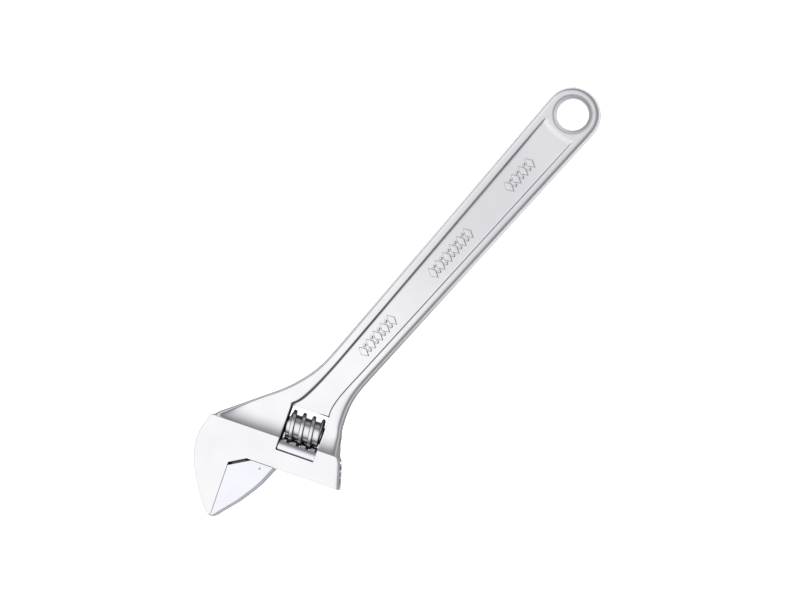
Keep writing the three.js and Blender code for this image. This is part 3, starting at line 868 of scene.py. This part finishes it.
def raised_marks():
    """Three groups of plain lozenges and studs in the panel, the same on both faces."""
    lozenge = mark_stamp("lozenge_mark", [
        (-MARK_WIDE, 0), (0, -MARK_HALF), (MARK_WIDE, 0), (0, MARK_HALF)])
    turns = [side * math.pi / (STUD_SIDES / 2) for side in range(STUD_SIDES)]
    stud = mark_stamp("stud_mark", [
        (STUD_R * math.cos(turn), STUD_R * math.sin(turn)) for turn in turns])
    places = []
    for first, count in MARK_GROUPS:
        for number in range(count):
            x = first + number * MARK_STEP
            places.append((lozenge, x, 0))
            if number:
                places += [(stud, x - MARK_STEP / 2, side * MARK_HALF * STUD_OUT)
                           for side in (1, -1)]
    copies = [copied(stamp, Matrix.Translation(on_handle(x, y))) for stamp, x, y in places]
    bpy.data.objects.remove(stud, do_unlink=True)
    bpy.data.objects.remove(lozenge, do_unlink=True)
    deselect()
    for copy in copies:
        copy.select_set(True)
    bpy.context.view_layer.objects.active = copies[0]
    bpy.ops.object.join()
    marks = named("raised_marks")
    apply_modifier(marks, "MIRROR", use_axis=(False, False, True), use_clip=False,
                   use_mirror_merge=False)
    edit(marks)
    outward()
    return done()


def make_forging():
    body = forging_cage()
    round_the_end(body)
    open_window(body)
    apply_modifier(body, "MIRROR", use_axis=(False, False, True), use_clip=True,
                   merge_threshold=0.005)
    edit(body)
    outward()
    done()
    apply_modifier(body, "SUBSURF", levels=2, render_levels=2)
    cut(body, hang_cutter())
    cut(body, mouth_cutter())
    rail_bore = rod("bore_tool", RAIL_BORE_R, BORE_START, BORE_END, 72)
    cut(body, settle(rail_bore, jaw_matrix(RAIL_V)))
    slot = block("slot_tool", (BORE_START, SLOT_LOW_V, -SLOT_Z), (MOUTH_END_U, RAIL_V, SLOT_Z))
    cut(body, settle(slot, jaw_matrix()))
    axle_bore = rod("axle_tool", PIN_BORE_R, PIN_TIP - 0.5, PIN_BORE_END, 40)
    cut(body, settle(axle_bore, jaw_matrix(WORM_V)))
    screw_bore = rod("screw_tool", PIN_HEAD_BORE_R, WINDOW_U[1] - 1, PIN_BORE_END, 48)
    cut(body, settle(screw_bore, jaw_matrix(WORM_V)))
    cut(body, raised_marks(), "UNION")
    return into_place(body)


# --------------------------------------------------------------- moving jaw
def hook_outline():
    """The moving jaw from its sliding face, down its back to the nose, and up its bite."""
    top = FRONT_V - SLIDE_GAP
    back = [
        (24.1, top), (23.4, 4.0), (22.8, 2.7), (21.9, 0.5), (21.0, -1.6), (19.7, -4.3),
        (18.2, -6.9), (16.7, -9.4), (15.1, -11.7), (13.5, -14.1), (11.9, -16.4),
        (10.0, -18.8), (7.9, -21.2), (6.1, -23.4), (4.3, -25.4), (2.6, -27.6),
    ]
    facet_low = FACET_V - 1.6
    facet_end = JAW_GAP + (top - facet_low) / math.tan(math.radians(FACET_ANGLE))
    nose = [(1.6, -28.6), (0.9, -JAW_DEPTH), (JAW_GAP, -JAW_DEPTH + 0.6)]
    return back + nose + [(JAW_GAP, facet_low), (facet_end, top)]


def on_back(a, b):
    """Edges along the jaw's curved back, from its sliding face to its nose."""
    middle = (a + b) / 2
    on_facet = middle.x < 12 and middle.y > -5
    below_slide = middle.y < FRONT_V - SLIDE_GAP - 0.1
    return middle.x > 0.85 and below_slide and not on_facet


def jaw_rack(jaw):
    """Cuts the gaps between the rack's teeth, leaning with the worm's thread."""
    lead = math.atan(PITCH / (2 * math.pi * LEAD_R))
    tip = RAIL_V + RAIL_R
    gap = plate("gap_tool", [
        (-RACK_ROOT_HALF, RACK_ROOT_V), (RACK_ROOT_HALF, RACK_ROOT_V),
        (RACK_TIP_HALF, tip + 0.2), (RACK_TIP_HALF, tip + 3),
        (-RACK_TIP_HALF, tip + 3), (-RACK_TIP_HALF, tip + 0.2),
    ], HEAD_Z)
    for number in RACK_GAPS:
        middle = THREAD_AT_U + PITCH / 2 + number * PITCH
        cut(jaw, copied(gap, Matrix.Translation((middle, 0, 0)) @ Matrix.Rotation(-lead, 4, "Y")))
    bpy.data.objects.remove(gap, do_unlink=True)


def make_moving_jaw():
    jaw = plate("moving_jaw", hook_outline(), HEAD_Z - JAW_SINK)
    edit(jaw)
    select_edges(jaw, lambda a, b: abs(a.z - b.z) < TOUCHING and on_back(a, b))
    bpy.ops.mesh.bevel(offset=JAW_EDGE, segments=3, profile=0.5)
    done()
    neck = plate("neck_tool", [
        (NECK_START, -2.5), (14, -2.5), (20, FRONT_V + 0.6),
        (RAIL_END - 1, FRONT_V + 0.6), (RAIL_END - 1, RAIL_V), (NECK_START, RAIL_V),
    ], NECK_Z)
    cut(jaw, neck, "UNION")
    rail = rod("rail_tool", RAIL_R, RAIL_START, RAIL_END, 72, RAIL_EDGE)
    cut(jaw, settle(rail, Matrix.Translation((0, RAIL_V, 0))), "UNION")
    jaw_rack(jaw)
    deselect()
    bpy.ops.mesh.primitive_cone_add(
        vertices=24, radius1=0, radius2=PUNCH_R, depth=PUNCH_LONG,
        location=(PUNCH_U, PUNCH_V, HEAD_Z - PUNCH_MIDDLE))
    cut(jaw, settle(named("punch_tool")))
    settle(jaw, jaw_matrix())
    return into_place(jaw)


# --------------------------------------------------------------- worm group
def wound(name, section, turns, rise, steps):
    """A closed section in local XY, wound round local X as a screw."""
    deselect()
    bpy.ops.mesh.primitive_circle_add(vertices=len(section), radius=1, fill_type="NOTHING")
    piece = named(name)
    for vert, (along, out) in zip(piece.data.vertices, section):
        vert.co = Vector((along, out, 0))
    apply_modifier(piece, "SCREW", axis="X", angle=2 * math.pi * turns, iterations=1,
                   screw_offset=rise, steps=steps, render_steps=steps)
    edit(piece)
    bpy.ops.mesh.remove_doubles(threshold=0.002)
    bpy.ops.mesh.select_all(action="SELECT")
    bpy.ops.mesh.fill_holes(sides=0)
    outward()
    return done()


def make_worm():
    """A thread wound on a core and trimmed round at both ends, with a hub and bores."""
    start = THREAD_AT_U - PITCH
    root, crest, soft = WORM_CORE_R - 0.5, WORM_R, CREST_SOFT
    section = [
        (start - ROOT_HALF - 0.08, root), (start - CREST_HALF - 0.05, crest - soft),
        (start - CREST_HALF + soft * 0.6, crest - 0.03), (start, crest),
        (start + CREST_HALF - soft * 0.6, crest - 0.03),
        (start + CREST_HALF + 0.05, crest - soft), (start + ROOT_HALF + 0.08, root),
    ]
    worm = wound("worm_wheel", section, WORM_TURNS, WORM_TURNS * PITCH, WORM_TURNS * WORM_STEPS)
    before, after = WORM_U[0] - 1, WORM_U[1] + 1
    cut(worm, rod("core_tool", WORM_CORE_R, before, after, 96), "UNION")
    cut(worm, rod("envelope_tool", WORM_R + 0.6, *RIDGES_U, 96, RIDGES_EDGE), "INTERSECT")
    cut(worm, rod("hub_tool", HUB_R, *WORM_U, 64, 0.3), "UNION")
    cut(worm, rod("pin_tool", WORM_BORE_R, before, after, 40))
    cut(worm, rod("pocket_tool", POCKET_R, before, POCKET_END, 48))
    settle(worm, jaw_matrix(WORM_V))
    return into_place(worm)


def make_pin():
    """The worm's axle with a slotted head."""
    pin = rod("axle_pin", PIN_R, PIN_TIP, PIN_HEAD[0] + 1, 48, 0.5)
    cut(pin, rod("head_tool", PIN_HEAD_R, *PIN_HEAD, 64, 0.35), "UNION")
    slot = block("driver_tool", (PIN_HEAD[1] - DRIVER_DEEP, -5, -DRIVER_HALF),
                 (PIN_HEAD[1] + 1, 5, DRIVER_HALF))
    cut(pin, slot)
    settle(pin, jaw_matrix(WORM_V))
    return into_place(pin)


def make_spring():
    """A coil round the pin, in the pocket at the worm's end."""
    start = SPRING_U[0] + SPRING_WIRE_R
    rise = SPRING_U[1] - SPRING_U[0] - 2 * SPRING_WIRE_R
    section = []
    for number in range(12):
        turn = 2 * math.pi * number / 12
        section.append((start + SPRING_WIRE_R * math.cos(turn),
                        SPRING_R + SPRING_WIRE_R * math.sin(turn)))
    steps = int(SPRING_TURNS * SPRING_STEPS)
    spring = wound("worm_coil", section, SPRING_TURNS, rise, steps)
    settle(spring, jaw_matrix(WORM_V))
    return into_place(spring)


# ------------------------------------------------------------ the scene itself
def make_floor():
    deselect()
    bpy.ops.mesh.primitive_plane_add(size=FLOOR_SIZE, location=(0, 0, 0))
    floor = named("studio_floor")
    material = bpy.data.materials.new("studio_floor")
    material.use_nodes = True
    shader = material.node_tree.nodes["Principled BSDF"]
    shader.inputs["Base Color"].default_value = (FLOOR_TONE, FLOOR_TONE, FLOOR_TONE, 1)
    shader.inputs["Roughness"].default_value = 0.9
    shader.inputs["Specular IOR Level"].default_value = 0.0
    shader.inputs["Emission Color"].default_value = (1, 1, 1, 1)
    shader.inputs["Emission Strength"].default_value = FLOOR_GLOW
    floor.data.materials.append(material)


def make_light():
    """A sky that is white overhead, darkest half way down and grey at the horizon."""
    world = bpy.data.worlds.new("studio")
    bpy.context.scene.world = world
    world.use_nodes = True
    tree = world.node_tree
    background = tree.nodes["Background"]
    place = tree.nodes.new("ShaderNodeTexCoord").outputs
    lean = vector_maths(tree, "DOT_PRODUCT", place["Generated"], LEAN)
    greys = [(position, (tone, tone, tone * SKY_COOL)) for position, tone in SKY]
    stops = [(0.0, HORIZON), *greys, (1.0, OVERHEAD)]
    tree.links.new(colour_ramp(tree, lean, stops), background.inputs["Color"])
    background.inputs["Strength"].default_value = SKY_STRENGTH


def make_camera():
    """Looks almost straight down, with the wrench lying across the view."""
    distance = VIEW_WIDTH / 2 / (SENSOR / 2 / LENS)
    tilt = math.radians(CAMERA_TILT)
    turn = math.radians(CAMERA_TURN)
    box_middle = (Vector(CAD_BOX[0]) + Vector(CAD_BOX[1])) / 2
    target = Vector((box_middle.x + CAMERA_AIM[0] * MM, box_middle.y + CAMERA_AIM[1] * MM, MID_Z))
    back = Vector((0, -math.sin(tilt), math.cos(tilt)))
    right = Vector((math.cos(turn), -math.sin(turn), 0))
    right = (right - back * right.dot(back)).normalized()
    up = back.cross(right)
    camera_data = bpy.data.cameras.new("camera")
    camera_data.lens = LENS
    camera_data.sensor_width = SENSOR
    camera_data.clip_end = 20
    camera = bpy.data.objects.new("camera", camera_data)
    bpy.context.scene.collection.objects.link(camera)
    matrix = Matrix((right, up, back)).transposed().to_4x4()
    matrix.translation = target + back * distance
    camera.matrix_world = matrix
    bpy.context.scene.camera = camera


make_camera()
make_floor()
make_light()
finish_piece(make_forging(), "handle", BODY_CHROME, "wrench_body")
finish_piece(make_moving_jaw(), "jaw", JAW_CHROME, "movable_jaw")
finish_piece(make_worm(), "worm", WORM_CHROME, "worm")
finish_piece(make_pin(), "handle", PIN_STEEL, "worm_pin")
finish_piece(make_spring(), "handle", SPRING_STEEL, "worm_spring")

bpy.context.scene.view_settings.view_transform = "Standard"
deselect()
